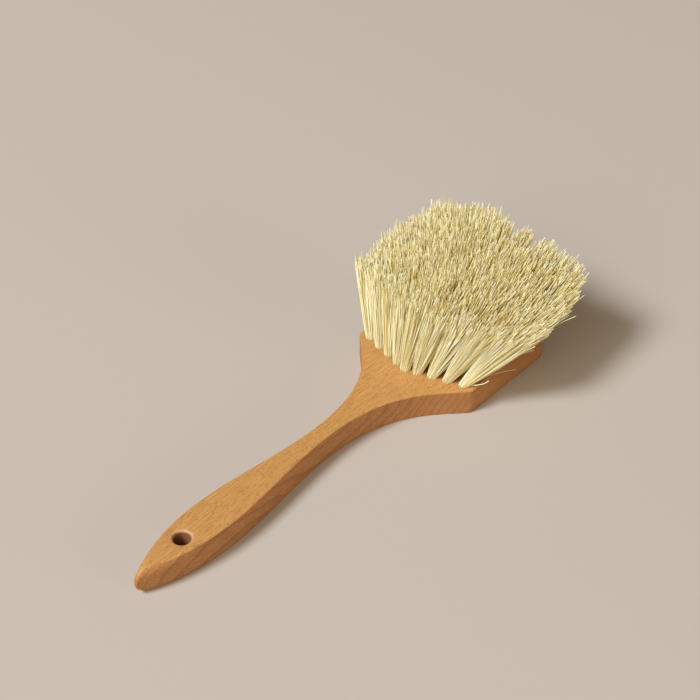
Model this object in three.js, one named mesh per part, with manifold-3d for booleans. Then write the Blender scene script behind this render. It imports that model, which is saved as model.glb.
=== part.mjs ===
// Cushion brush: a one-piece beech board, tufts of plant fibre and the metal anchors that hold them.
// Millimetres, +Z up. The brush lies on its back. X runs from the handle to the head, and +Y is the
// left side seen from the handle. The origin is the middle of the head, on the back face.

import * as THREE from 'three';
import { mergeVertices } from 'three/addons/utils/BufferGeometryUtils.js';
import Module from 'manifold-3d';

// Board
const boardThickness = 15;
const headWidth = 79;
const headLength = 66;
const farCornerRadius = 3.5;
const shoulderRadius = 4;
const flareLength = 77.5;
const flareAngle = THREE.MathUtils.degToRad(42);
const neckWidth = 10;
const neckFromTip = 135;
const bellyWidth = 23.6;
const bellyFromTip = 54.7;
const tipRadius = 1.5;
const tipHalfAngle = THREE.MathUtils.degToRad(28.5);
const edgeRadius = 0.8;

// The handle's end is rounded in side view too: how far its point stands back on the top and back faces
const tipTopSetback = 6.8;
const tipBackSetback = 5.3;
const tipFullness = 2.5;

// How far each outline curve runs along its end tangents, as a share of its span
const tipPull = 0.37;
const bellyPull = 0.32;
const neckPull = 0.35;
const flareStartPull = 0.64;
const flareEndPull = 0.25;

// Hanging hole
const hangHoleDiameter = 9;
const hangHoleFromTip = 32.3;
const hangHoleChamfer = 1.25;

// Tuft field: straight columns along X, closer in the middle, and rows bent into chevrons that point
// at the handle
const columnCount = 9;
const rowCount = 6;
const columnCrowding = 1.12;
const outerColumnInset = 7;
const frontCornerInset = 1.5;
const frontChevronDepth = 10;
const farCornerInset = 7.5;
const farChevronDepth = 4.5;

// Reach of a tuft from its root to its tip, at the middle and at the end of the front and far rows
const frontMiddleReach = { forward: 10, up: 38 };
const frontCornerReach = { forward: 19.5, outward: 25.3, up: 30.3 };
const farMiddleReach = { forward: 24, up: 53 };
const farCornerReach = { forward: 24, outward: 18.6, up: 39.5 };

// Halfway along the head, the side tufts lean further out and end lower than between those rows
const sideBulge = 3;
const sideDrop = 2;

// Strands of a tuft
const ringStrandCount = 6;
const strandSides = 3;
const strandRootWidth = 1.5;
const strandTipWidth = 1.2;
const strandSpread = 0.33;
const strandSink = 1.2;
const tuftTwist = THREE.MathUtils.degToRad(137.5);
const trimVariation = 1.2;
const trimTurnPerTuft = THREE.MathUtils.degToRad(137.5);
const trimTurnPerStrand = THREE.MathUtils.degToRad(97);

// Tuft holes, the folded tuft roots in them and the slice of wood that the strands grow from
const tuftHoleDiameter = 5.6;
const tuftHoleSides = 6;
const tuftHoleLeanShare = 0.4;
const floorUnderTufts = 4.5;
const bedThickness = 2.2;
const bedMargin = 3.2;

// Anchors: flat metal strips driven through the fold of each tuft
const anchorBite = 0.4;
const anchorThickness = 0.5;
const anchorHeight = 2;
const foldUnderAnchor = 1.2;

// Clearances
const seatClearance = 0.3;
const cutOvershoot = 1;
const weldDistance = 1e-4;

// Curve steps
const curveSteps = { nose: 4, grip: 10, swell: 10, flare: 14, corner: 4 };
const edgeSteps = 2;
const sideSteps = 4;
const hangHoleSides = 24;

// Places worked out from the sizes above
const shoulderX = -headLength / 2;
const farX = headLength / 2;
const neckX = shoulderX - flareLength;
const tipX = neckX - neckFromTip;
const bellyX = tipX + bellyFromTip;
const hangHoleX = tipX + hangHoleFromTip;
const outerColumnY = headWidth / 2 - outerColumnInset;
const frontRowX = shoulderX + frontCornerInset;
const farRowX = farX - farCornerInset;
const anchorLength = tuftHoleDiameter + 2 * anchorBite;

// The tuft field is made in beds, side by side, each with its own slice of the head
const bedNames = ['right', 'middle', 'left'];
const bedEdgeY = outerColumnY + bedMargin;

const wasm = await Module();
wasm.setup();

function toSolid(geometry) {
  const bare = geometry.clone();
  bare.deleteAttribute('normal');
  bare.deleteAttribute('uv');
  const welded = mergeVertices(bare, weldDistance);
  return new wasm.Manifold(new wasm.Mesh({
    numProp: 3,
    vertProperties: new Float32Array(welded.attributes.position.array),
    triVerts: new Uint32Array(welded.index.array),
  }));
}

function toGeometry(solid) {
  const mesh = solid.getMesh();
  const geometry = new THREE.BufferGeometry();
  geometry.setAttribute('position', new THREE.BufferAttribute(mesh.vertProperties, 3));
  geometry.setIndex(new THREE.BufferAttribute(mesh.triVerts, 1));
  return geometry;
}

function joined(solids) {
  return solids.reduce((whole, solid) => whole.add(solid));
}

function turnFromUp(direction) {
  return new THREE.Quaternion().setFromUnitVectors(new THREE.Vector3(0, 0, 1), direction);
}

function prism(points, bottom, top) {
  const geometry = new THREE.ExtrudeGeometry(new THREE.Shape(points), {
    depth: top - bottom,
    bevelEnabled: false,
  });
  geometry.translate(0, 0, bottom);
  return geometry;
}

// A straight rod between two points, tapered in the given ratio, with one of its flats facing along X
function rodBetween(start, end, radius, taper, sides) {
  const along = end.clone().sub(start);
  const length = along.length();
  const corners = [];
  for (let corner = 0; corner < sides; corner += 1) {
    const angle = ((2 * corner + 1) * Math.PI) / sides;
    corners.push(new THREE.Vector2(radius * Math.cos(angle), radius * Math.sin(angle)));
  }
  const geometry = prism(corners, 0, length);
  const points = geometry.attributes.position;
  for (let point = 0; point < points.count; point += 1) {
    const scale = THREE.MathUtils.lerp(1, taper, points.getZ(point) / length);
    points.setXY(point, points.getX(point) * scale, points.getY(point) * scale);
  }
  geometry.applyQuaternion(turnFromUp(along.normalize()));
  geometry.translate(start.x, start.y, start.z);
  return geometry;
}

// How far the point of the handle stands back at a height
function tipSetback(height) {
  const middle = boardThickness / 2;
  const most = height > middle ? tipTopSetback : tipBackSetback;
  return most * Math.abs(height / middle - 1) ** tipFullness;
}

// Left half of the board's outline at a height, from the tip of the handle to the far end of the head
function halfOutline(height) {
  const at = (x, y) => new THREE.Vector2(x, y);
  const heading = (angle) => at(Math.cos(angle), Math.sin(angle));
  const quarter = Math.PI / 2;

  const nose = new THREE.EllipseCurve(
    tipX + tipSetback(height) + tipRadius,
    0,
    tipRadius,
    tipRadius,
    Math.PI,
    quarter + tipHalfAngle,
    true,
  );
  const noseEnd = nose.getPoint(1);

  const belly = at(bellyX, bellyWidth / 2);
  const gripSpan = belly.x - noseEnd.x;
  const grip = new THREE.CubicBezierCurve(
    noseEnd,
    noseEnd.clone().addScaledVector(heading(tipHalfAngle), tipPull * gripSpan),
    at(belly.x - bellyPull * gripSpan, belly.y),
    belly,
  );

  const neck = at(neckX, neckWidth / 2);
  const swellSpan = neck.x - belly.x;
  const swell = new THREE.CubicBezierCurve(
    belly,
    at(belly.x + bellyPull * swellSpan, belly.y),
    at(neck.x - neckPull * swellSpan, neck.y),
    neck,
  );

  const shoulder = at(shoulderX, headWidth / 2);
  const shoulderTrim = shoulderRadius * Math.tan(flareAngle / 2);
  const flareEnd = shoulder.clone().addScaledVector(heading(flareAngle), -shoulderTrim);
  const flare = new THREE.CubicBezierCurve(
    neck,
    at(neck.x + flareStartPull * flareLength, neck.y),
    flareEnd.clone().addScaledVector(heading(flareAngle), -flareEndPull * flareLength),
    flareEnd,
  );

  const shoulderArc = new THREE.EllipseCurve(
    shoulder.x + shoulderTrim,
    shoulder.y - shoulderRadius,
    shoulderRadius,
    shoulderRadius,
    quarter + flareAngle,
    quarter,
    true,
  );
  const cornerArc = new THREE.EllipseCurve(
    farX - farCornerRadius,
    shoulder.y - farCornerRadius,
    farCornerRadius,
    farCornerRadius,
    quarter,
    0,
    true,
  );
  return [
    ...nose.getPoints(curveSteps.nose),
    ...grip.getPoints(curveSteps.grip).slice(1),
    ...swell.getPoints(curveSteps.swell).slice(1),
    ...flare.getPoints(curveSteps.flare).slice(1),
    ...shoulderArc.getPoints(curveSteps.corner).slice(1),
    ...cornerArc.getPoints(curveSteps.corner),
  ];
}

// Outline of the whole board at a height, counter-clockwise, drawn in by an inset
function boardOutline(height, inset) {
  const left = halfOutline(height);
  const right = left.map((point) => new THREE.Vector2(point.x, -point.y));
  const whole = [...right, ...left.slice(1).reverse()];
  return whole.map((point, place) => {
    const before = whole[(place + whole.length - 1) % whole.length];
    const after = whole[(place + 1) % whole.length];
    const run = after.clone().sub(before).normalize();
    return new THREE.Vector2(point.x - run.y * inset, point.y + run.x * inset);
  });
}

// Heights and insets of the outlines that the board is lofted through, from the back face to the top face
function boardLevels() {
  const rounding = [];
  for (let step = 0; step <= edgeSteps; step += 1) {
    const angle = (step * Math.PI) / 2 / edgeSteps;
    rounding.push({
      height: edgeRadius * (1 - Math.cos(angle)),
      inset: edgeRadius * (1 - Math.sin(angle)),
    });
  }
  const side = [];
  for (let step = 1; step < sideSteps; step += 1) {
    side.push({ height: (boardThickness * step) / sideSteps, inset: 0 });
  }
  const upper = rounding.map(({ height, inset }) => ({ height: boardThickness - height, inset }));
  return [...rounding, ...side, ...upper.reverse()];
}

function boardBlank() {
  const levels = boardLevels();
  const rings = levels.map(({ height, inset }) => boardOutline(height, inset));
  const around = rings[0].length;
  const corners = rings.flatMap((ring, level) => {
    const { height } = levels[level];
    return ring.map((point) => [point.x, point.y, height]);
  });
  const faces = [];
  for (let level = 1; level < rings.length; level += 1) {
    for (let place = 0; place < around; place += 1) {
      const low = (level - 1) * around;
      const high = level * around;
      const next = (place + 1) % around;
      faces.push([low + place, low + next, high + next]);
      faces.push([low + place, high + next, high + place]);
    }
  }
  const topStart = corners.length - around;
  THREE.ShapeUtils.triangulateShape(rings[0], []).forEach((cap) => faces.push(cap.reverse()));
  THREE.ShapeUtils.triangulateShape(rings.at(-1), []).forEach((cap) => {
    faces.push(cap.map((corner) => topStart + corner));
  });
  const geometry = new THREE.BufferGeometry();
  geometry.setAttribute('position', new THREE.Float32BufferAttribute(corners.flat(), 3));
  geometry.setIndex(faces.flat());
  return toSolid(geometry);
}

function hangHoleCutter() {
  const bore = hangHoleDiameter / 2;
  const flared = bore + hangHoleChamfer + cutOvershoot;
  const profile = [
    new THREE.Vector2(0, -cutOvershoot),
    new THREE.Vector2(flared, -cutOvershoot),
    new THREE.Vector2(bore, hangHoleChamfer),
    new THREE.Vector2(bore, boardThickness - hangHoleChamfer),
    new THREE.Vector2(flared, boardThickness + cutOvershoot),
    new THREE.Vector2(0, boardThickness + cutOvershoot),
  ];
  const geometry = new THREE.LatheGeometry(profile, hangHoleSides);
  geometry.rotateX(Math.PI / 2);
  geometry.translate(hangHoleX, 0, 0);
  return toSolid(geometry);
}

// Places in the tuft field: across runs from -1 (right) to 1 (left), along from 0 (front) to 1 (far)
function columnY(across) {
  return Math.sign(across) * Math.abs(across) ** columnCrowding * outerColumnY;
}

function rowX(y, along) {
  const inward = 1 - Math.abs(y) / outerColumnY;
  const front = frontRowX - frontChevronDepth * inward;
  const far = farRowX - farChevronDepth * inward;
  return THREE.MathUtils.lerp(front, far, along);
}

function rootPoint(across, along) {
  const y = columnY(across);
  return new THREE.Vector3(rowX(y, along), y, boardThickness);
}

// Vector from a tuft's root to its tip: the fan opens to both sides and leans further to the far end
function reach(across, along) {
  const cornerShare = across * across;
  const betweenEnds = 4 * along * (1 - along);
  const blend = (key) => {
    const front = THREE.MathUtils.lerp(frontMiddleReach[key], frontCornerReach[key], cornerShare);
    const far = THREE.MathUtils.lerp(farMiddleReach[key], farCornerReach[key], cornerShare);
    return THREE.MathUtils.lerp(front, far, along);
  };
  const outward = THREE.MathUtils.lerp(frontCornerReach.outward, farCornerReach.outward, along);
  const bulge = Math.abs(across) * sideBulge * betweenEnds;
  const up = blend('up') - cornerShare * sideDrop * betweenEnds;
  return new THREE.Vector3(blend('forward'), across * (outward + bulge), up);
}

function acrossOf(column) {
  return (2 * column) / (columnCount - 1) - 1;
}

function tuftAt(column, row) {
  const across = acrossOf(column);
  const along = row / (rowCount - 1);
  const root = rootPoint(across, along);
  const lean = reach(across, along);
  const drill = new THREE.Vector3(lean.x * tuftHoleLeanShare, lean.y * tuftHoleLeanShare, lean.z).normalize();
  const depth = (boardThickness - floorUnderTufts) / drill.z;
  const anchorLift = 2 * seatClearance + foldUnderAnchor + anchorHeight / 2;
  return {
    label: `r${row + 1}_c${column + 1}`,
    column,
    index: column * rowCount + row,
    across,
    along,
    root,
    drill,
    holeEnd: root.clone().addScaledVector(drill, -depth),
    anchorCentre: root.clone().addScaledVector(drill, anchorLift - depth),
    turn: turnFromUp(drill),
  };
}

// The anchor's strip of metal, or with a clearance the slot that it sits in
function anchorBox(tuft, clearance) {
  const geometry = new THREE.BoxGeometry(
    anchorLength + 2 * clearance,
    anchorThickness + 2 * clearance,
    anchorHeight + 2 * clearance,
  );
  geometry.applyQuaternion(tuft.turn);
  geometry.translate(tuft.anchorCentre.x, tuft.anchorCentre.y, tuft.anchorCentre.z);
  return geometry;
}

function tuftHoleCutter(tuft) {
  const radius = tuftHoleDiameter / 2;
  const bore = rodBetween(tuft.holeEnd, tuft.root, radius, 1, tuftHoleSides);
  return toSolid(bore).add(toSolid(anchorBox(tuft, seatClearance)));
}

// Folded root of a tuft: a plug down the hole, slotted where the anchor passes through the fold
function tuftRoot(tuft) {
  const radius = tuftHoleDiameter / 2 - seatClearance;
  const foot = tuft.holeEnd.clone().addScaledVector(tuft.drill, seatClearance);
  const head = tuft.root.clone().addScaledVector(tuft.drill, -bedThickness / 2 / tuft.drill.z);
  const plug = toSolid(rodBetween(foot, head, radius, 1, tuftHoleSides));
  return plug.subtract(toSolid(anchorBox(tuft, seatClearance)));
}

// One strand in the middle of a tuft and a ring of strands around it, spread at the tips to fill the fan
function tuftStrands(tuft) {
  const columnStep = 2 / (columnCount - 1);
  const rowStep = 1 / (rowCount - 1);
  const ringRadius = (tuftHoleDiameter - strandRootWidth) / 2;
  const taper = strandTipWidth / strandRootWidth;
  const twist = tuft.index * tuftTwist;
  const strands = [];
  for (let place = 0; place <= ringStrandCount; place += 1) {
    const angle = twist + (place * 2 * Math.PI) / ringStrandCount;
    const out = place === ringStrandCount ? 0 : 1;
    const side = Math.sin(angle) * out;
    const ahead = Math.cos(angle) * out;
    const root = tuft.root.clone().add(new THREE.Vector3(ahead * ringRadius, side * ringRadius, 0));
    const across = tuft.across + side * strandSpread * columnStep;
    const along = tuft.along + ahead * strandSpread * rowStep;
    const tip = rootPoint(across, along).add(reach(across, along));
    const line = tip.clone().sub(root).normalize();
    const trim = trimVariation * Math.sin(tuft.index * trimTurnPerTuft + place * trimTurnPerStrand);
    const start = root.clone().addScaledVector(line, -strandSink);
    const end = tip.addScaledVector(line, trim);
    strands.push(toSolid(rodBetween(start, end, strandRootWidth / 2, taper, strandSides)));
  }
  return strands;
}

// Plan of a slice of the head between two lines along X, with its front and far ends bent as the rows are
function bedPlan(lowY, highY, grow) {
  const margin = bedMargin + grow;
  const edges = lowY < 0 && highY > 0 ? [lowY, 0, highY] : [lowY, highY];
  const edgePoint = (y, along, shift) => new THREE.Vector2(rowX(y, along) + shift, y);
  const front = edges.map((y) => edgePoint(y, 0, -margin));
  const far = edges.map((y) => edgePoint(y, 1, margin)).reverse();
  return [...far, ...front];
}

function firstColumn(bed) {
  return Math.round((bed * columnCount) / bedNames.length);
}

// Slice of the head under one bed, cut from its neighbours midway between two columns
function bedSlice(bed) {
  const seamY = (column) => (columnY(acrossOf(column - 1)) + columnY(acrossOf(column))) / 2;
  const isLast = bed === bedNames.length - 1;
  const lowY = bed === 0 ? -bedEdgeY : seamY(firstColumn(bed)) + seatClearance / 2;
  const highY = isLast ? bedEdgeY : seamY(firstColumn(bed + 1)) - seatClearance / 2;
  return toSolid(prism(bedPlan(lowY, highY, 0), boardThickness - bedThickness, boardThickness));
}

function bedRecess() {
  const edge = bedEdgeY + seatClearance;
  const floor = boardThickness - bedThickness - seatClearance;
  return toSolid(prism(bedPlan(-edge, edge, seatClearance), floor, boardThickness + cutOvershoot));
}

const beech = new THREE.MeshStandardMaterial({ color: 0xc98a4e, roughness: 0.55, metalness: 0 });
const plantFibre = new THREE.MeshStandardMaterial({ color: 0xe2d09a, roughness: 0.8, metalness: 0 });
const steel = new THREE.MeshStandardMaterial({ color: 0xb8b9b6, roughness: 0.35, metalness: 1 });

const brush = new THREE.Group();

function addPiece(name, geometry, material) {
  const piece = new THREE.Mesh(geometry, material.clone());
  piece.name = name;
  brush.add(piece);
}

const tufts = [];
for (let column = 0; column < columnCount; column += 1) {
  for (let row = 0; row < rowCount; row += 1) {
    tufts.push(tuftAt(column, row));
  }
}

const cutters = [hangHoleCutter(), bedRecess(), ...tufts.map(tuftHoleCutter)];
const board = cutters.reduce((rest, cutter) => rest.subtract(cutter), boardBlank());
addPiece('brush_body', toGeometry(board), beech);

bedNames.forEach((side, bed) => {
  const inBed = (tuft) => tuft.column >= firstColumn(bed) && tuft.column < firstColumn(bed + 1);
  const fibres = tufts.filter(inBed).flatMap((tuft) => [tuftRoot(tuft), ...tuftStrands(tuft)]);
  addPiece(`bristles_${side}`, toGeometry(joined([bedSlice(bed), ...fibres])), plantFibre);
});

tufts.forEach((tuft) => {
  addPiece(`anchor_${tuft.label}`, anchorBox(tuft, 0), steel);
});

export default brush;
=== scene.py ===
"""Looks of a cushion brush: a beech board with a fan of plant-fibre tufts. Metres, +Z up."""

import math

import bmesh
import bpy
import numpy as np
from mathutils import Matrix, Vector
from mathutils.geometry import delaunay_2d_cdt


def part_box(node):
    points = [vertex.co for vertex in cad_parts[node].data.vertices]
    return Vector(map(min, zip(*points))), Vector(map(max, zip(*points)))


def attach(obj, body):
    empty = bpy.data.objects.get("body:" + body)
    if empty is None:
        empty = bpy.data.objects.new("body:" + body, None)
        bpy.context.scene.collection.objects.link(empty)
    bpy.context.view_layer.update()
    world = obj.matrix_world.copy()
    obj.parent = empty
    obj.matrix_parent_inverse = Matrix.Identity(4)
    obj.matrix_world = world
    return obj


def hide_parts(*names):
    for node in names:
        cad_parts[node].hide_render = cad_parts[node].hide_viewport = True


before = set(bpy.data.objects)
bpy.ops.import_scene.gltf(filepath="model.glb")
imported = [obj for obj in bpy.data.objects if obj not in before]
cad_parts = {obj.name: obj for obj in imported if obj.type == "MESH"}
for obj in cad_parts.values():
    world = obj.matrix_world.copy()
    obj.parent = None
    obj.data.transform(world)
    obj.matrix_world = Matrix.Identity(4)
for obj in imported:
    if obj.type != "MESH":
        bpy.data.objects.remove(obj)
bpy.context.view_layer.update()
board_low, board_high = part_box("brush_body")

# Board: its length, width and thickness come from the frame
TIP_X = board_low.x
FAR_X = board_high.x
HEAD_HALF_WIDTH = board_high.y
THICKNESS = board_high.z
SHOULDER_X = -FAR_X
FAR_CORNER_RADIUS = 0.0035
SHOULDER_RADIUS = 0.004
FLARE_LENGTH = 0.0775
FLARE_ANGLE = math.radians(42)
NECK_X = SHOULDER_X - FLARE_LENGTH
NECK_WIDTH = 0.010
BELLY_X = TIP_X + 0.0547
BELLY_WIDTH = 0.0236
TIP_RADIUS = 0.0015
TIP_HALF_ANGLE = math.radians(28.5)
TIP_TOP_SETBACK = 0.0068
TIP_BACK_SETBACK = 0.0053
TIP_FULLNESS = 2.5
EDGE_RADIUS = 0.0008
TIP_PULL = 0.37
BELLY_PULL = 0.32
NECK_PULL = 0.35
FLARE_START_PULL = 0.64
FLARE_END_PULL = 0.25
CURVE_STEPS = {"nose": 10, "grip": 40, "swell": 40, "flare": 56, "corner": 12}
EDGE_STEPS = 4
SIDE_STEPS = 14
SHARP_EDGE = math.radians(30)
NEAR = 1e-8

# Hanging hole
HANG_HOLE = Vector((TIP_X + 0.0323, 0))
HANG_HOLE_RADIUS = 0.0045
HANG_HOLE_CHAMFER = 0.00125
HANG_HOLE_SIDES = 64

# Tuft field: straight columns along X, closer in the middle, and rows bent into chevrons that point
# at the handle
COLUMNS = 9
ROWS = 6
COLUMN_CROWDING = 1.12
OUTER_COLUMN_Y = HEAD_HALF_WIDTH - 0.007
FRONT_ROW_X = SHOULDER_X + 0.0015
FRONT_CHEVRON = 0.010
FAR_ROW_X = FAR_X - 0.0075
FAR_CHEVRON = 0.0045
COLUMN_STEP = 2 / (COLUMNS - 1)
ROW_STEP = 1 / (ROWS - 1)
BEDS = ("right", "middle", "left")

# Reach of a tuft from root to tip, as (forward, outward, up), at the middle and corner of the end rows
FRONT_MIDDLE_REACH = np.array((0.010, 0, 0.038))
FRONT_CORNER_REACH = np.array((0.0195, 0.0253, 0.0303))
FAR_MIDDLE_REACH = np.array((0.024, 0, 0.053))
FAR_CORNER_REACH = np.array((0.024, 0.0186, 0.0395))
SIDE_BULGE = 0.003
SIDE_DROP = 0.002

# Tuft holes
TUFT_HOLE_RADIUS = 0.0030
TUFT_HOLE_RIM = 0.0002
TUFT_HOLE_SIDES = 20
TUFT_HOLE_LEAN_SHARE = 0.4
FLOOR_UNDER_TUFTS = 0.0045

# Fibres: stations are shares of their length
FIBRES_PER_TUFT = 250
FIBRE_SIDES = 3
FIBRE_ROOT_RADIUS = 0.00021
FIBRE_TIP_RADIUS = 0.0002
FIBRE_THICKNESS = (0.75, 1.2)
FIBRE_SINK = 0.005
FIBRE_STATIONS = np.array((0.03, 0.2, 0.45, 0.72, 1))
UPRIGHT_NUDGE = 1e-3
GOLDEN_ANGLE = math.radians(137.508)
SEED = 7

# How a tuft's fibres spread: TIP_SPREAD, which is (along, across), EDGE_SPREAD and TUFT_DRIFT are shares of
# the tufts' spacing
TUFT_ROOT_RADIUS = 0.0027
TUFT_BULGE = 0.0002
BULGE_RISE = 0.05
TIP_SPREAD = np.array((0.58, 0.7))
EDGE_SPREAD = 0.36
FAN_OPENING = 1.05
TUFT_DRIFT = 0.06

# Strands that a tuft's fibres gather in
CLUMPS_PER_TUFT = 30
CLUMP_PULL = 0.25
CLUMP_SCATTER = 0.08
FIBRE_SCATTER = 0.05

# Lengths and bends of the fibres
TUFT_TRIM_SPREAD = 0.0008
CLUMP_TRIM_SPREAD = 0.0006
TRIM_SPREAD = 0.0013
TUFT_CROWN = 0.0016
LONG_SHARE = 0.012
LONG_EXTRA = 0.005
SHORT_RARITY = 6
SHORT_MOST = 0.006
BOW_SPREAD = 0.0005
TIP_BEND = 0.0006

# Tones run from 0, golden, to 1, cream. Painted light makes the fibres of the outer tufts and the loose
# fibres paler, less so towards their tips; inner fibres get none
TONE_SHAPE = (0.9, 0.55)
OWN_TONE_SHARE = 0.9
INNER_PAINTED_LIGHT = 0
OUTER_PAINTED_LIGHT = 0.15
STRAY_PAINTED_LIGHT = 1
PAINTED_LIGHT_FADE = 6

# Each fibre has a cell of the bake map, with its sides in the middle and its end faces above and below
CELL_LOW = 0.1
CELL_HIGH = 0.9
CELL_END_FACES = ((0.1, 0.02), (0.5, 0.08), (0.9, 0.02), (0.1, 0.98), (0.5, 0.92), (0.9, 0.98))

# Loose fibres of the right-hand column that bend away from their tufts: row, and pull and tip from the root
STRAYS = (
    (0, (0.0134, -0.0117, 0.0070), (0.0213, -0.0185, 0.0070)),
    (0, (0.0028, -0.0100, 0.0020), (0.0042, -0.0133, 0.0070)),
    (1, (0.0144, -0.0173, 0.0150), (0.0203, -0.0221, 0.0160)),
    (3, (0.0145, -0.0262, 0.0270), (0.0222, -0.0310, 0.0290)),
)

# Tufts of the far row that stand apart, by column: shift of the tips to the left, as a share of the
# columns' spacing, share of the usual width, and length cut off
APART = {
    1: {"left": -0.3, "width": 0.9, "cut": 0.0},
    2: {"left": -0.65, "width": 0.8, "cut": 0.0015},
    3: {"left": -0.25, "width": 0.62, "cut": 0.0012},
    4: {"left": 0.0, "width": 0.8, "cut": 0.0},
}
IN_LINE = {"left": 0.0, "width": 1.0, "cut": 0.0}

# Beech: noises have a length along the grain, a width across it and a level of detail
STREAKS = (0.011, 0.0005, 2.0)
STREAK_STOPS = (0.36, 0.62)
RING_NORMAL = (0.0, 0.95, 0.32)
RING_SPACING = 0.0027
RING_WANDER = (0.06, 0.012, 1.0)
RING_WANDER_DEPTH = 0.004
UNEVEN_SPAN = 0.004
UNEVEN_DEPTH = 0.003
LATE_WOOD = ((0.1, 0.0), (0.6, 0.22), (0.86, 1.0), (0.95, 0.0))
RINGS_ON_TOP = 0.08
RINGS_ON_SIDES = 0.48
FLECKS = (0.0019, 0.0004, 0.5)
FLECK_STOPS = (0.63, 0.69)
FLECK_STRENGTH = 0.62
SIDE_STOPS = (0.35, 0.9)
WOOD_SPECULAR = 0.3
WOOD_ROUGHNESS = (0.42, 0.58)
GRAIN_BUMP = {"Strength": 0.12, "Distance": 0.0003}

# The oiled surface, the chamfer of the hanging hole and its bored wall, which is darkened as painted shade
# inside the hole
# Each side tint makes the sides redder for their grain and darker as painted shade
WOODS = {
    "beech": {
        "pale": (0.71, 0.388, 0.133),
        "dark": (0.565, 0.283, 0.086),
        "fleck": (0.36, 0.145, 0.042, 1),
        "side_grain_and_shade": (0.78, 0.68, 0.72, 1),
    },
    "beech_cut": {
        "pale": (0.74, 0.50, 0.30),
        "dark": (0.60, 0.36, 0.19),
        "fleck": (0.42, 0.2, 0.09, 1),
        "side_grain_and_shade": (1.0, 0.92, 0.88, 1),
    },
    # Bored wall: darker colours as painted shade inside the hanging hole
    "beech_bored_shaded": {
        "pale": (0.40, 0.21, 0.11),
        "dark": (0.30, 0.14, 0.07),
        "fleck": (0.2, 0.08, 0.04, 1),
        "side_grain_and_shade": (1.0, 0.90, 0.85, 1),
    },
}

# Plant fibre: colours by tone, the painted shade that makes inner fibres golden below their tips, and the
# pale colour of painted light on outer and loose fibres
FIBRE_TONES = (
    (0.0, (0.73, 0.52, 0.13)),
    (0.25, (0.89, 0.75, 0.33)),
    (0.6, (0.965, 0.905, 0.55)),
    (1.0, (0.97, 0.935, 0.70)),
)
SHADE_BELOW_TIP = ((0.72, (0.68, 0.48, 0.14)), (0.9, (0.95, 0.86, 0.62)), (1.0, (1, 1, 1)))
FIBRE_PAINTED_LIGHT = (0.98, 0.91, 0.56, 1)
FIBRE_SHINE = {"Specular_IOR_Level": 0.15, "Sheen_Weight": 0.3, "Sheen_Roughness": 0.5}
FIBRE_PATCHES = (0.004, 0.004)
FIBRE_ROUGHNESS = (0.45, 0.65)

# Anchor wire
DRAWING_MARKS = (0.003, 0.00015)
STEEL_TONES = ((0.2, (0.42, 0.42, 0.41)), (0.8, (0.62, 0.62, 0.6)))
STEEL_ROUGHNESS = (0.25, 0.45)

# Camera: the photograph's frame is square
CAMERA_PLACE = Vector((-0.6400, -0.4719, 0.6267))
CAMERA_AIM = Vector((-0.03376, 0.04590, 0))
CAMERA_LENS = 92.57
SENSOR_WIDTH = 36

# Light: a large soft lamp on the left, weak ones before the brush and beside it, and an even fill
LAMPS = {
    "key": {"place": (-5.6, 2.4, 6.6), "size": 3.0, "power": 640, "colour": (0.98, 1.0, 1.02)},
    "front": {"place": (-4.2, -0.6, 3.0), "size": 3.2, "power": 60, "colour": (1.0, 0.95, 0.84)},
    "side": {"place": (0.4, -5.0, 1.0), "size": 2.0, "power": 52, "colour": (1.0, 0.88, 0.72)},
}
FILL_STRENGTH = 0.22
FILL_COLOUR = (1.0, 0.76, 0.52, 1)
FLOOR_SIZE = 16
FLOOR_COLOUR = (0.61, 0.56, 0.51, 1)
FLOOR_SHINE = {"Roughness": 0.9, "Specular_IOR_Level": 0.1}


def heading(angle):
    return Vector((math.cos(angle), math.sin(angle)))


def bezier(start, pull_start, pull_end, end, steps):
    points = []
    for step in range(steps + 1):
        t = step / steps
        s = 1 - t
        points.append(start * s**3 + pull_start * (3 * s * s * t) + pull_end * (3 * s * t * t) + end * t**3)
    return points


def arc(centre, radius, start, end, steps):
    return [centre + radius * heading(start + (end - start) * step / steps) for step in range(steps + 1)]


def tip_setback(height):
    """How far the point of the handle stands back at a height: its end is rounded in side view too."""
    middle = THICKNESS / 2
    most = TIP_TOP_SETBACK if height > middle else TIP_BACK_SETBACK
    return most * abs(height / middle - 1) ** TIP_FULLNESS


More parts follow.
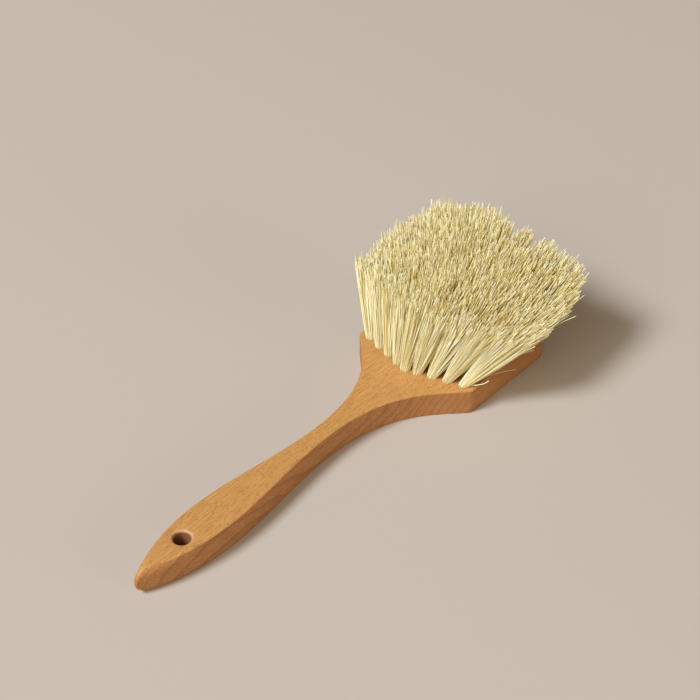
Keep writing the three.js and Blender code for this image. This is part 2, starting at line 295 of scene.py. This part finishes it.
def half_outline(height):
    """Left half of the board's outline at a height, from the handle's tip to the head's far end."""
    quarter = math.pi / 2
    nose_centre = Vector((TIP_X + tip_setback(height) + TIP_RADIUS, 0))
    nose = arc(nose_centre, TIP_RADIUS, math.pi, quarter + TIP_HALF_ANGLE, CURVE_STEPS["nose"])
    belly = Vector((BELLY_X, BELLY_WIDTH / 2))
    grip_span = belly.x - nose[-1].x
    grip = bezier(
        nose[-1],
        nose[-1] + heading(TIP_HALF_ANGLE) * TIP_PULL * grip_span,
        belly - Vector((BELLY_PULL * grip_span, 0)),
        belly,
        CURVE_STEPS["grip"],
    )
    neck = Vector((NECK_X, NECK_WIDTH / 2))
    swell_span = neck.x - belly.x
    swell = bezier(
        belly,
        belly + Vector((BELLY_PULL * swell_span, 0)),
        neck - Vector((NECK_PULL * swell_span, 0)),
        neck,
        CURVE_STEPS["swell"],
    )
    shoulder = Vector((SHOULDER_X, HEAD_HALF_WIDTH))
    shoulder_trim = SHOULDER_RADIUS * math.tan(FLARE_ANGLE / 2)
    flare_end = shoulder - heading(FLARE_ANGLE) * shoulder_trim
    flare = bezier(
        neck,
        neck + Vector((FLARE_START_PULL * FLARE_LENGTH, 0)),
        flare_end - heading(FLARE_ANGLE) * FLARE_END_PULL * FLARE_LENGTH,
        flare_end,
        CURVE_STEPS["flare"],
    )
    shoulder_centre = shoulder + Vector((shoulder_trim, -SHOULDER_RADIUS))
    corner_steps = CURVE_STEPS["corner"]
    shoulder_arc = arc(shoulder_centre, SHOULDER_RADIUS, quarter + FLARE_ANGLE, quarter, corner_steps)
    corner_centre = Vector((FAR_X - FAR_CORNER_RADIUS, HEAD_HALF_WIDTH - FAR_CORNER_RADIUS))
    corner_arc = arc(corner_centre, FAR_CORNER_RADIUS, quarter, 0, corner_steps)
    return nose + grip[1:] + swell[1:] + flare[1:] + shoulder_arc[1:] + corner_arc


def edge_profile():
    """(height, inset) of each ring from the back face's rim, round both edges, to the top face's rim."""
    turns = [math.pi / 2 * step / EDGE_STEPS for step in range(EDGE_STEPS + 1)]
    upper = [
        (THICKNESS - EDGE_RADIUS * (1 - math.sin(turn)), EDGE_RADIUS * (1 - math.cos(turn)))
        for turn in turns
    ]
    lower = [(THICKNESS - height, inset) for height, inset in reversed(upper)]
    side = THICKNESS - 2 * EDGE_RADIUS
    between = [(EDGE_RADIUS + side * step / SIDE_STEPS, 0) for step in range(1, SIDE_STEPS)]
    return lower + between + upper


def board_outline(height, inset):
    """Outline of the whole board at a height, counter-clockwise, drawn in by an inset."""
    left = half_outline(height)
    outline = [Vector((point.x, -point.y)) for point in left] + left[:0:-1]
    drawn_in = []
    for place, point in enumerate(outline):
        run = (outline[(place + 1) % len(outline)] - outline[place - 1]).normalized()
        drawn_in.append(point + Vector((-run.y, run.x)) * inset)
    return drawn_in


def ring_of(mesh, points, height):
    return [mesh.verts.new((point.x, point.y, height)) for point in points]


def bridge(mesh, low, high, material=0):
    """Quads between two rings of the same count, facing out where the rings run counter-clockwise."""
    for place in range(len(low)):
        after = (place + 1) % len(low)
        face = mesh.faces.new((low[place], low[after], high[after], high[place]))
        face.material_index = material


def fill_cap(mesh, loops, up):
    """Fills a flat face between its outer loop and the loops of the holes in it."""
    corners = []
    owners = []
    edges = []
    for owner, loop in enumerate(loops):
        first = len(corners)
        edges += [(first + place, first + (place + 1) % len(loop)) for place in range(len(loop))]
        corners += loop
        owners += [owner] * len(loop)
    flat = [vertex.co.xy for vertex in corners]
    inside_outline = 1
    _, _, triangles, sources, _, _ = delaunay_2d_cdt(flat, edges, [], inside_outline, NEAR)
    for triangle in triangles:
        places = [sources[corner][0] for corner in triangle]
        touched = {owners[place] for place in places}
        in_a_hole = len(touched) == 1 and touched != {0}
        if not in_a_hole:
            around = [corners[place] for place in places]
            mesh.faces.new(around if up else around[::-1])


def circle(centre, radius, sides):
    return [centre + radius * heading(2 * math.pi * side / sides) for side in range(sides)]


def root_point(across, along):
    """Place of a tuft's root: across is -1 at the right and 1 at the left, along is 0 at the front."""
    outward = np.abs(across) ** COLUMN_CROWDING
    front = FRONT_ROW_X - FRONT_CHEVRON * (1 - outward)
    far = FAR_ROW_X - FAR_CHEVRON * (1 - outward)
    x = front + (far - front) * along
    return np.stack((x, np.sign(across) * outward * OUTER_COLUMN_Y, np.full_like(x, THICKNESS)), axis=-1)


def reach(across, along):
    """From a tuft's root to its tip: the fan opens to both sides and leans further to the far end."""
    along = np.asarray(along)
    across = np.asarray(across)
    corner = across**2
    between_ends = 4 * along * (1 - along)
    front = FRONT_MIDDLE_REACH + (FRONT_CORNER_REACH - FRONT_MIDDLE_REACH) * corner[..., None]
    far = FAR_MIDDLE_REACH + (FAR_CORNER_REACH - FAR_MIDDLE_REACH) * corner[..., None]
    reached = front + (far - front) * along[..., None]
    outward = FRONT_CORNER_REACH[1] + (FAR_CORNER_REACH[1] - FRONT_CORNER_REACH[1]) * along
    reached[..., 1] = across * (outward + np.abs(across) * SIDE_BULGE * between_ends)
    reached[..., 2] -= corner * SIDE_DROP * between_ends
    return reached


def tufts():
    """(column, across, along) of every tuft."""
    return [
        (column, column * COLUMN_STEP - 1, row * ROW_STEP)
        for column in range(COLUMNS)
        for row in range(ROWS)
    ]


def drill_direction(across, along):
    """The holes are drilled at a share of the tufts' lean."""
    share = (TUFT_HOLE_LEAN_SHARE, TUFT_HOLE_LEAN_SHARE, 1)
    leaned = reach(np.float64(across), np.float64(along)) * share
    return leaned / np.linalg.norm(leaned)


def tuft_hole(mesh, across, along):
    """A blind hole with a softened rim. Returns the loop that it leaves in the top face."""
    root = Vector(root_point(np.float64(across), np.float64(along)).tolist())
    drill = Vector(drill_direction(across, along).tolist())
    depth = (THICKNESS - FLOOR_UNDER_TUFTS) / drill.z
    end = (root - drill * depth).xy
    rim = ring_of(mesh, circle(root.xy, TUFT_HOLE_RADIUS + TUFT_HOLE_RIM, TUFT_HOLE_SIDES), THICKNESS)
    lip = ring_of(mesh, circle(root.xy, TUFT_HOLE_RADIUS, TUFT_HOLE_SIDES), THICKNESS - TUFT_HOLE_RIM)
    floor = ring_of(mesh, circle(end, TUFT_HOLE_RADIUS, TUFT_HOLE_SIDES), FLOOR_UNDER_TUFTS)
    bridge(mesh, rim, lip)
    bridge(mesh, lip, floor)
    mesh.faces.new(floor)
    return rim


def board_mesh():
    """The board with rounded edges, the chamfered hanging hole and the blind tuft holes."""
    mesh = bmesh.new()
    rings = [ring_of(mesh, board_outline(height, inset), height) for height, inset in edge_profile()]
    for low, high in zip(rings, rings[1:]):
        bridge(mesh, low, high)

    flared = HANG_HOLE_RADIUS + HANG_HOLE_CHAMFER
    bore = [
        ring_of(mesh, circle(HANG_HOLE, radius, HANG_HOLE_SIDES), height)
        for radius, height in (
            (flared, THICKNESS),
            (HANG_HOLE_RADIUS, THICKNESS - HANG_HOLE_CHAMFER),
            (HANG_HOLE_RADIUS, HANG_HOLE_CHAMFER),
            (flared, 0),
        )
    ]
    for high, low, material in zip(bore, bore[1:], (1, 2, 1)):
        bridge(mesh, high, low, material)
    holes = [tuft_hole(mesh, across, along) for _, across, along in tufts()]
    fill_cap(mesh, [rings[-1], bore[0], *holes], up=True)
    fill_cap(mesh, [rings[0], bore[-1]], up=False)

    for edge in mesh.edges:
        edge.smooth = edge.calc_face_angle(0) < SHARP_EDGE
    for face in mesh.faces:
        face.smooth = True
    made = bpy.data.meshes.new("board")
    mesh.to_mesh(made)
    mesh.free()
    return made


def disc_places(count, turn):
    """Evenly spread places in a unit disc, as (ahead, side)."""
    order = np.arange(count)
    radius = np.sqrt((order + 0.5) / count)
    angle = order * GOLDEN_ANGLE + turn
    return np.stack((radius * np.cos(angle), radius * np.sin(angle)), axis=-1)


def tuft_fibres(across, along, stance, draw):
    """Paths (fibre, station, xyz) and tones of a tuft's fibres, which bulge where they leave the hole.

    The stance says whether the tuft stands apart from its neighbours."""
    places = disc_places(FIBRES_PER_TUFT, draw.uniform(0, math.tau))
    clumps = disc_places(CLUMPS_PER_TUFT, draw.uniform(0, math.tau))
    clumps = clumps + draw.normal(0, CLUMP_SCATTER, clumps.shape)
    gaps = np.linalg.norm(places[:, None] - clumps[None], axis=-1)
    nearest = gaps.argmin(axis=1)
    gathered = places + (clumps[nearest] - places) * CLUMP_PULL
    gathered = gathered + draw.normal(0, FIBRE_SCATTER, places.shape)

    centre = root_point(np.float64(across), np.float64(along))
    root = centre + np.concatenate((places * TUFT_ROOT_RADIUS, np.zeros((len(places), 1))), axis=1)
    drawn_in = 1 - (TIP_SPREAD - EDGE_SPREAD) * np.array((2 * ROW_STEP, COLUMN_STEP))
    drift = draw.normal(0, TUFT_DRIFT, 2)

    def tips_of(shares):
        """Tips of fibres whose places in the tuft's tip are given."""
        spread = shares * TIP_SPREAD * (1, stance["width"]) + drift + (0, stance["left"])
        tip_along = 0.5 + (along - 0.5 + spread[:, 0] * ROW_STEP) * drawn_in[0]
        tip_across = (across + spread[:, 1] * COLUMN_STEP) * drawn_in[1]
        return root_point(tip_across, tip_along) + reach(tip_across, tip_along)

    lean = tips_of(np.zeros((1, 2))) - centre
    even = tips_of(places)
    gather = tips_of(gathered) - even
    run = even - root
    length = np.linalg.norm(run, axis=1, keepdims=True)
    short = draw.random(length.shape) ** SHORT_RARITY * SHORT_MOST
    long = (draw.random(length.shape) < LONG_SHARE) * draw.uniform(0, LONG_EXTRA, length.shape)
    crown = TUFT_CROWN * (gathered**2).sum(axis=1, keepdims=True)
    trim = draw.normal(0, TUFT_TRIM_SPREAD)
    trim = trim + draw.normal(0, CLUMP_TRIM_SPREAD, CLUMPS_PER_TUFT)[nearest, None]
    trim = trim + draw.normal(0, TRIM_SPREAD, length.shape) - stance["cut"]
    run = run * (1 + (trim + long - short - crown) / length)

    bow = draw.normal(0, BOW_SPREAD, root.shape)
    bend = draw.normal(0, TIP_BEND, root.shape)
    paths = []
    for station in FIBRE_STATIONS:
        bulge = TUFT_BULGE * (1 - math.exp(-station / BULGE_RISE)) * (1 - station)
        point = root + lean * station + (run - lean) * station**FAN_OPENING
        point += bow * (4 * station * (1 - station)) + bend * station**3 + gather * station**2
        point[:, :2] += places * bulge
        paths.append(point)
    sunk = root - drill_direction(across, along) * FIBRE_SINK
    strand_tone = draw.beta(*TONE_SHAPE, CLUMPS_PER_TUFT)[nearest]
    tone = strand_tone + (draw.beta(*TONE_SHAPE, FIBRES_PER_TUFT) - strand_tone) * OWN_TONE_SHARE
    return np.stack((sunk, *paths), axis=1), tone


def stray_fibres():
    """Paths of the loose fibres, shaped as those of a tuft."""
    share = FIBRE_STATIONS[:, None]
    paths = []
    for row, pull, tip in STRAYS:
        root = root_point(np.float64(-1), np.float64(row * ROW_STEP))
        curve = root + 2 * share * (1 - share) * np.array(pull) + share**2 * np.array(tip)
        sunk = root - drill_direction(-1, row * ROW_STEP) * FIBRE_SINK
        paths.append(np.concatenate((sunk[None], curve)))
    return np.stack(paths)


def fibre_mesh(name, paths, tone, painted_light_share, draw):
    """One mesh of closed fibres along the given paths, with what their material needs as attributes."""
    fibres, stations = paths.shape[:2]
    along = np.gradient(paths, axis=1)
    along /= np.linalg.norm(along, axis=2, keepdims=True)
    side = np.cross(along, (0.0, 0.0, 1.0))
    side += np.cross(along, (1.0, 0.0, 0.0)) * UPRIGHT_NUDGE
    side /= np.linalg.norm(side, axis=2, keepdims=True)
    up = np.cross(side, along)
    share = np.linspace(0, 1, stations)
    thickness = draw.uniform(*FIBRE_THICKNESS, (fibres, 1))
    radius = (FIBRE_ROOT_RADIUS + (FIBRE_TIP_RADIUS - FIBRE_ROOT_RADIUS) * share) * thickness
    turn = draw.uniform(0, math.tau, (fibres, 1, 1))
    corners = turn + np.arange(FIBRE_SIDES) * math.tau / FIBRE_SIDES
    spoke = side[:, :, None] * np.cos(corners)[..., None] + up[:, :, None] * np.sin(corners)[..., None]
    points = paths[:, :, None] + spoke * radius[:, :, None, None]

    sides = np.arange(FIBRE_SIDES)
    after = (sides + 1) % FIBRE_SIDES
    per_fibre = stations * FIBRE_SIDES
    quads = []
    for ring in range(stations - 1):
        low, high = ring * FIBRE_SIDES, (ring + 1) * FIBRE_SIDES
        quads += [(low + k, low + after[k], high + after[k], high + k) for k in sides]
    end_faces = [tuple(sides[::-1]), tuple(sides + per_fibre - FIBRE_SIDES)]
    faces = [
        tuple(int(corner) + fibre * per_fibre for corner in face)
        for fibre in range(fibres)
        for face in quads + end_faces
    ]
    mesh = bpy.data.meshes.new(name)
    mesh.from_pydata(points.reshape(-1, 3).tolist(), [], faces)
    mesh.shade_flat()

    # Painted light: a share of the pale colour along each outer or loose fibre, fading out at its tip
    pale = painted_light_share[:, None] * (1 - share**PAINTED_LIGHT_FADE)
    attributes = {
        "fibre_tone": np.repeat(tone, per_fibre),
        "fibre_place": np.tile(np.repeat(share, FIBRE_SIDES), fibres),
        "fibre_pale": np.repeat(pale.ravel(), FIBRE_SIDES),
        # fibre_inner marks the fibres that get painted shade below their tips
        "fibre_inner": np.repeat(painted_light_share == INNER_PAINTED_LIGHT, per_fibre),
    }
    for attribute, values in attributes.items():
        layer = mesh.attributes.new(attribute, "FLOAT", "POINT")
        layer.data.foreach_set("value", values.astype(np.float32))

    cell_corners = []
    for ring in range(stations - 1):
        for k in sides:
            left, right = (k + CELL_LOW) / FIBRE_SIDES, (k + CELL_HIGH) / FIBRE_SIDES
            low, high = CELL_LOW + (CELL_HIGH - CELL_LOW) * share[ring:ring + 2]
            cell_corners += [(left, low), (right, low), (right, high), (left, high)]
    cell_corners += CELL_END_FACES
    across_map = math.ceil(math.sqrt(fibres))
    cells = np.stack((np.arange(fibres) % across_map, np.arange(fibres) // across_map), axis=-1)
    places = (cells[:, None] + np.array(cell_corners)[None]) / across_map
    mesh.uv_layers.new(name="OFBake").data.foreach_set("uv", places.reshape(-1).astype(np.float32))
    return mesh


def node(tree, kind, inputs=None, **settings):
    """Adds a shader node, sets it up, and links or sets its inputs."""
    made = tree.nodes.new(kind)
    for key, value in settings.items():
        setattr(made, key, value)
    for key, value in (inputs or {}).items():
        if isinstance(value, bpy.types.NodeSocket):
            tree.links.new(value, made.inputs[key])
        else:
            made.inputs[key].default_value = value
    return made


def new_material(name, **values):
    material = bpy.data.materials.new(name)
    material.use_nodes = True
    shader = material.node_tree.nodes["Principled BSDF"]
    for key, value in values.items():
        shader.inputs[key.replace("_", " ")].default_value = value
    return material, material.node_tree, shader


def ramp(tree, fac, stops):
    """Colour ramp through (place, colour) stops."""
    made = node(tree, "ShaderNodeValToRGB", {"Fac": fac})
    elements = made.color_ramp.elements
    while len(elements) < len(stops):
        elements.new(0.5)
    for element, (place, colour) in zip(elements, stops):
        element.position = place
        element.color = (*colour, 1)
    return made.outputs["Color"]


def mix(tree, factor, first, second, blend="MIX"):
    """Mixes two colours, which have sockets of the same names as those for other kinds of value."""
    made = node(tree, "ShaderNodeMix", data_type="RGBA", blend_type=blend)
    for key, kind, value in (("Factor", "VALUE", factor), ("A", "RGBA", first), ("B", "RGBA", second)):
        socket = next(s for s in made.inputs if s.name == key and s.type == kind)
        if isinstance(value, bpy.types.NodeSocket):
            tree.links.new(value, socket)
        else:
            socket.default_value = value
    return next(s for s in made.outputs if s.type == "RGBA")


def noise_texture(tree, inputs, **settings):
    return node(tree, "ShaderNodeTexNoise", {"Scale": 1.0, **inputs}, **settings).outputs["Fac"]


def stretched_noise(tree, along, across, detail=2.0):
    """Noise in streaks that run along X: along and across are the streaks' length and width."""
    place = node(tree, "ShaderNodeTexCoord").outputs["Object"]
    scale = (1 / along, 1 / across, 1 / across)
    scaled = node(tree, "ShaderNodeMapping", {"Vector": place, "Scale": scale})
    return noise_texture(tree, {"Vector": scaled.outputs["Vector"], "Detail": detail})


def math_node(tree, operation, *values):
    return node(tree, "ShaderNodeMath", dict(enumerate(values)), operation=operation).outputs[0]


def map_range(tree, value, low, high, to_low, to_high):
    limits = {"From Min": low, "From Max": high, "To Min": to_low, "To Max": to_high}
    return node(tree, "ShaderNodeMapRange", {"Value": value, **limits}).outputs["Result"]


def beech(name):
    """Beech: fine streaks and short flecks along X, and growth rings that show most on the sides, which are
    made redder for their grain and darker as painted shade.
    """
    wood = WOODS[name]
    material, tree, shader = new_material(name, Specular_IOR_Level=WOOD_SPECULAR)
    normal = node(tree, "ShaderNodeNewGeometry").outputs["Normal"]
    facing_up = node(tree, "ShaderNodeSeparateXYZ", {"Vector": normal}).outputs["Z"]
    side = map_range(tree, math_node(tree, "ABSOLUTE", facing_up), *SIDE_STOPS, 1.0, 0.0)

    streaks = stretched_noise(tree, *STREAKS)
    grain = ramp(tree, streaks, tuple(zip(STREAK_STOPS, (wood["dark"], wood["pale"]))))

    place = node(tree, "ShaderNodeTexCoord").outputs["Object"]
    across_rings = node(tree, "ShaderNodeVectorMath", {0: place, 1: RING_NORMAL}, operation="DOT_PRODUCT")
    depth = across_rings.outputs["Value"]
    wander = stretched_noise(tree, *RING_WANDER)
    span = math_node(tree, "DIVIDE", depth, UNEVEN_SPAN)
    uneven = noise_texture(tree, {"W": span, "Detail": 1.0}, noise_dimensions="1D")
    shifted = math_node(tree, "MULTIPLY_ADD", uneven, UNEVEN_DEPTH, depth)
    shifted = math_node(tree, "MULTIPLY_ADD", wander, RING_WANDER_DEPTH, shifted)
    year = math_node(tree, "FRACT", math_node(tree, "DIVIDE", shifted, RING_SPACING))
    late_wood = ramp(tree, year, [(stop, (grey, grey, grey)) for stop, grey in LATE_WOOD])
    shown = map_range(tree, side, 0.0, 1.0, RINGS_ON_TOP, RINGS_ON_SIDES)
    ringed = mix(tree, math_node(tree, "MULTIPLY", late_wood, shown), grain, wood["fleck"])

    flecked = map_range(tree, stretched_noise(tree, *FLECKS), *FLECK_STOPS, 0.0, FLECK_STRENGTH)
    coloured = mix(tree, flecked, ringed, wood["fleck"])
    # Sides: multiplied redder for their grain and darker as painted shade
    sides_reddened_and_shaded = mix(tree, side, coloured, wood["side_grain_and_shade"], "MULTIPLY")
    tree.links.new(sides_reddened_and_shaded, shader.inputs["Base Color"])

    roughness = map_range(tree, streaks, 0.0, 1.0, *WOOD_ROUGHNESS)
    tree.links.new(roughness, shader.inputs["Roughness"])
    bump = node(tree, "ShaderNodeBump", {"Height": streaks, **GRAIN_BUMP})
    tree.links.new(bump.outputs["Normal"], shader.inputs["Normal"])
    return material


def plant_fibre():
    """Dry plant fibre, golden to cream. Painted shade makes fibres inside the field golden below their
    tips, and painted light makes outer and loose fibres paler.
    """
    material, tree, shader = new_material("plant_fibre", **FIBRE_SHINE)
    tone, place, inner, pale = (
        node(tree, "ShaderNodeAttribute", attribute_name=f"fibre_{key}").outputs["Fac"]
        for key in ("tone", "place", "inner", "pale")
    )
    own = ramp(tree, tone, FIBRE_TONES)
    # Painted shade: inner fibres multiplied golden and darker below their tips, where the field shades them
    shaded = mix(tree, inner, own, ramp(tree, place, SHADE_BELOW_TIP), "MULTIPLY")
    # Painted light: outer and loose fibres mixed towards a pale colour
    coloured = mix(tree, pale, shaded, FIBRE_PAINTED_LIGHT)
    tree.links.new(coloured, shader.inputs["Base Color"])
    patches = stretched_noise(tree, *FIBRE_PATCHES)
    roughness = map_range(tree, patches, 0.0, 1.0, *FIBRE_ROUGHNESS)
    tree.links.new(roughness, shader.inputs["Roughness"])
    return material


def anchor_steel():
    """Bright flat wire with fine drawing marks."""
    material, tree, shader = new_material("anchor_steel", Metallic=1.0)
    marks = stretched_noise(tree, *DRAWING_MARKS)
    tree.links.new(ramp(tree, marks, STEEL_TONES), shader.inputs["Base Color"])
    roughness = map_range(tree, marks, 0.0, 1.0, *STEEL_ROUGHNESS)
    tree.links.new(roughness, shader.inputs["Roughness"])
    return material


def add_piece(name, mesh, materials, slot, *replaced):
    """A piece of the brush that stands for CAD nodes."""
    piece = bpy.data.objects.new(name, mesh)
    bpy.context.scene.collection.objects.link(piece)
    for material in materials:
        mesh.materials.append(material)
    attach(piece, "root")
    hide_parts(*replaced)
    return piece


def make_board():
    """The board's faces use the woods in their order: surface, chamfer and bored wall."""
    woods = [beech(name) for name in WOODS]
    board = add_piece("board", board_mesh(), woods, "beech", "brush_body")
    smooth = board.modifiers.new("weighted_normals", "WEIGHTED_NORMAL")
    smooth.keep_sharp = True


def make_fibres():
    draw = np.random.default_rng(SEED)
    fibre = plant_fibre()
    columns_per_bed = COLUMNS / len(BEDS)
    paths = {bed: [] for bed in BEDS}
    tones = {bed: [] for bed in BEDS}
    painted_light_share = {bed: [] for bed in BEDS}
    for column, across, along in tufts():
        bed = BEDS[int(column / columns_per_bed)]
        outermost = abs(across) == 1 or along in (0, 1)
        stance = APART.get(column, IN_LINE) if along == 1 else IN_LINE
        tuft_paths, tuft_tones = tuft_fibres(across, along, stance, draw)
        paths[bed].append(tuft_paths)
        tones[bed].append(tuft_tones)
        # Outer tufts get a share of painted light; inner tufts get none, and painted shade instead
        painted_light_share[bed] += [OUTER_PAINTED_LIGHT if outermost else INNER_PAINTED_LIGHT] * FIBRES_PER_TUFT
    paths["right"].append(stray_fibres())
    tones["right"].append(np.ones(len(STRAYS)))
    painted_light_share["right"] += [STRAY_PAINTED_LIGHT] * len(STRAYS)
    for bed in BEDS:
        name = f"fibres_{bed}"
        joined = np.concatenate(paths[bed]), np.concatenate(tones[bed]), np.array(painted_light_share[bed])
        mesh = fibre_mesh(name, *joined, draw)
        add_piece(name, mesh, (fibre,), "plant_fibre", f"bristles_{bed}")


def finish_anchors():
    steel = anchor_steel()
    for name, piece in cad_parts.items():
        if name.startswith("anchor_"):
            piece.data.materials.clear()
            piece.data.materials.append(steel)


def make_stage():
    bpy.ops.mesh.primitive_plane_add(size=FLOOR_SIZE)
    floor = bpy.context.object
    floor.name = "floor"
    material, _, shader = new_material("floor", **FLOOR_SHINE)
    shader.inputs["Base Color"].default_value = FLOOR_COLOUR
    floor.data.materials.append(material)

    for name, settings in LAMPS.items():
        lamp = bpy.data.lights.new(name, "AREA")
        lamp.shape = "DISK"
        lamp.size = settings["size"]
        lamp.energy = settings["power"]
        lamp.color = settings["colour"]
        lamp_object = bpy.data.objects.new(name, lamp)
        lamp_object.location = settings["place"]
        lamp_object.rotation_euler = Vector(settings["place"]).to_track_quat("Z", "Y").to_euler()
        bpy.context.scene.collection.objects.link(lamp_object)

    world = bpy.context.scene.world or bpy.data.worlds.new("fill")
    bpy.context.scene.world = world
    world.use_nodes = True
    fill = world.node_tree.nodes["Background"]
    fill.inputs["Color"].default_value = FILL_COLOUR
    fill.inputs["Strength"].default_value = FILL_STRENGTH

    camera = bpy.data.cameras.new("camera")
    camera.lens = CAMERA_LENS
    camera.sensor_width = SENSOR_WIDTH
    camera.dof.use_dof = False
    camera_object = bpy.data.objects.new("camera", camera)
    camera_object.location = CAMERA_PLACE
    camera_object.rotation_euler = (CAMERA_PLACE - CAMERA_AIM).to_track_quat("Z", "Y").to_euler()
    bpy.context.scene.collection.objects.link(camera_object)
    bpy.context.scene.camera = camera_object
    bpy.context.scene.view_settings.view_transform = "Standard"


make_stage()
make_board()
make_fibres()
finish_anchors()
